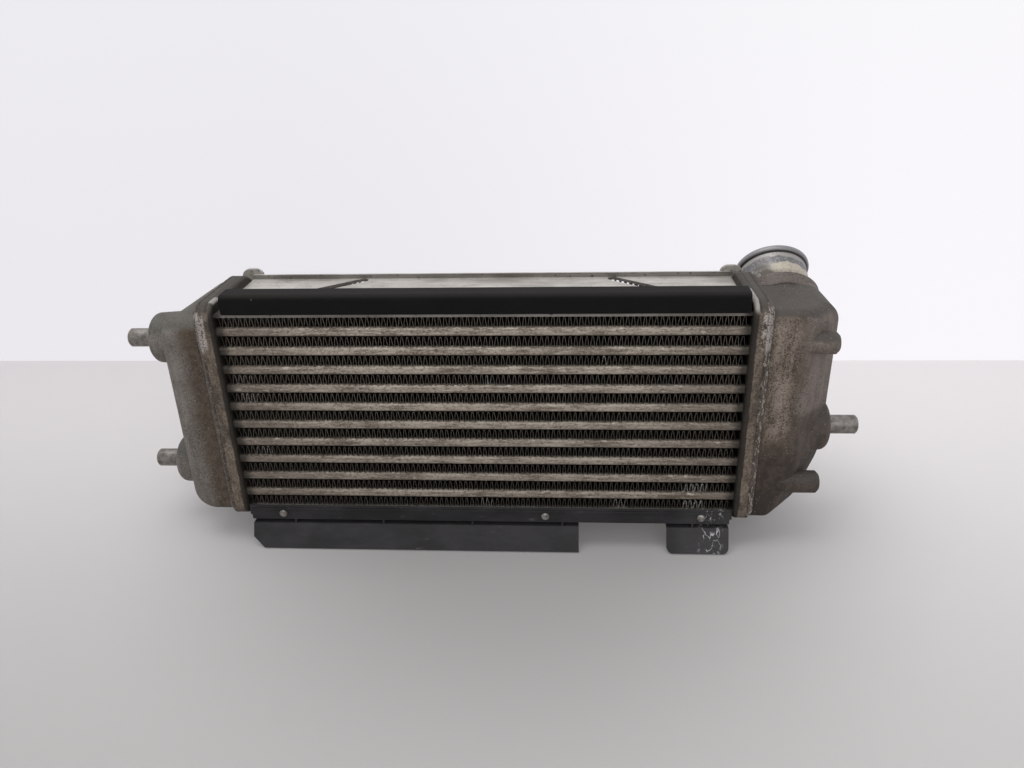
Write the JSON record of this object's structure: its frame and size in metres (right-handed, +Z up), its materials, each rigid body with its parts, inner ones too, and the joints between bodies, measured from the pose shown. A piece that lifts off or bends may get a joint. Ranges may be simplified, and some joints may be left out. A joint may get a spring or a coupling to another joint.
{
  "type": "intercooler",
  "caption": "Bar-and-fin charge-air cooler with two cast end tanks, a hose pipe on each, three locating pins, a foam seal and a plastic air deflector.",
  "frame": {"origin": "centre of the whole part's footprint, on the floor it stands on", "axes": "+X to the right along the core as seen from the front, +Y to the back, away from the side with the air deflector, +Z up"},
  "size_m": [0.5634, 0.1868, 0.2151],
  "materials": {
    "cast_tank": "rough",
    "header_sheet": "satin",
    "side_plate": "rough",
    "tube_metal": "satin",
    "fin_metal": "rough",
    "foam": "matte",
    "deflector_plastic": "matte",
    "rivet_metal": "satin",
    "pin_steel": "satin",
    "pipe_metal": "satin"
  },
  "bodies": {
    "root": {"left_tank": "cast_tank", "right_tank": "cast_tank", "left_header": "header_sheet", "right_header": "header_sheet", "top_side_plate": "side_plate", "bottom_side_plate": "side_plate", "foam_seal": "foam", "air_deflector": "deflector_plastic", "rivet_left": "rivet_metal", "rivet_middle": "rivet_metal", "rivet_right": "rivet_metal", "left_upper_pin": "pin_steel", "left_lower_pin": "pin_steel", "right_pin": "pin_steel", "outlet_pipe": "pipe_metal", "inlet_pipe": "pipe_metal", "tube_01": "tube_metal", "tube_02": "tube_metal", "tube_03": "tube_metal", "tube_04": "tube_metal", "tube_05": "tube_metal", "tube_06": "tube_metal", "tube_07": "tube_metal", "tube_08": "tube_metal", "tube_09": "tube_metal", "tube_10": "tube_metal", "turbulator_01": "fin_metal", "turbulator_02": "fin_metal", "turbulator_03": "fin_metal", "turbulator_04": "fin_metal", "turbulator_05": "fin_metal", "turbulator_06": "fin_metal", "turbulator_07": "fin_metal", "turbulator_08": "fin_metal", "turbulator_09": "fin_metal", "turbulator_10": "fin_metal", "fin_01": "fin_metal", "fin_02": "fin_metal", "fin_03": "fin_metal", "fin_04": "fin_metal", "fin_05": "fin_metal", "fin_06": "fin_metal", "fin_07": "fin_metal", "fin_08": "fin_metal", "fin_09": "fin_metal", "fin_10": "fin_metal", "fin_11": "fin_metal"}
  },
  "joints": []
}
